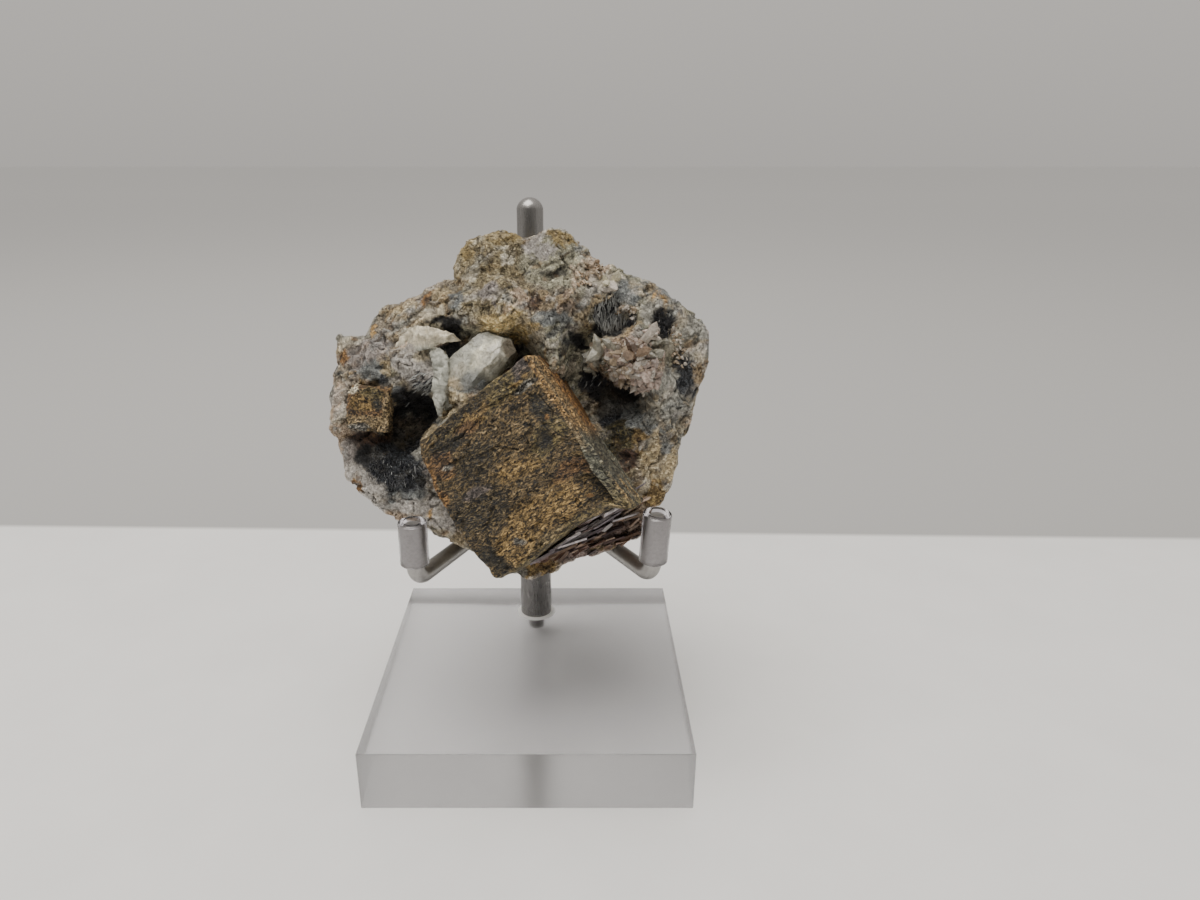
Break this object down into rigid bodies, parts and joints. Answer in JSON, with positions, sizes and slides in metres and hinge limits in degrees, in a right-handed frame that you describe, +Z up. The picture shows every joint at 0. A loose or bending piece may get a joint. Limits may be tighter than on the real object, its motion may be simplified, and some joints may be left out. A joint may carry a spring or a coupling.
{
  "type": "limonite pseudomorph",
  "caption": "Limonite pseudomorph after a pyrite cube on quartz matrix, held upright by a steel prong stand on a clear acrylic block.",
  "frame": {"origin": "middle of the acrylic base's underside", "axes": "+Z up, the specimen's cube faces -Y, +X to its right as seen from the front"},
  "size_m": [0.0798, 0.07, 0.1197],
  "materials": {
    "clear_acrylic": "clear, polished edges",
    "steel": "satin stainless",
    "clear_vinyl": "clear soft tube",
    "matrix_rock": "rough ochre, grey and white quartz rock",
    "limonite": "dark olive brown with an ochre crust",
    "limonite_pale": "ochre brown, granular"
  },
  "bodies": {
    "root": {"acrylic_base": "clear_acrylic", "post": "steel", "back_rod": "steel", "arm_collar": "steel", "arm_left": "steel", "arm_right": "steel", "sleeve_left": "clear_vinyl", "sleeve_right": "clear_vinyl", "matrix": "matrix_rock", "limonite_cube_large": "limonite", "limonite_cube_small": "limonite_pale"}
  },
  "joints": []
}
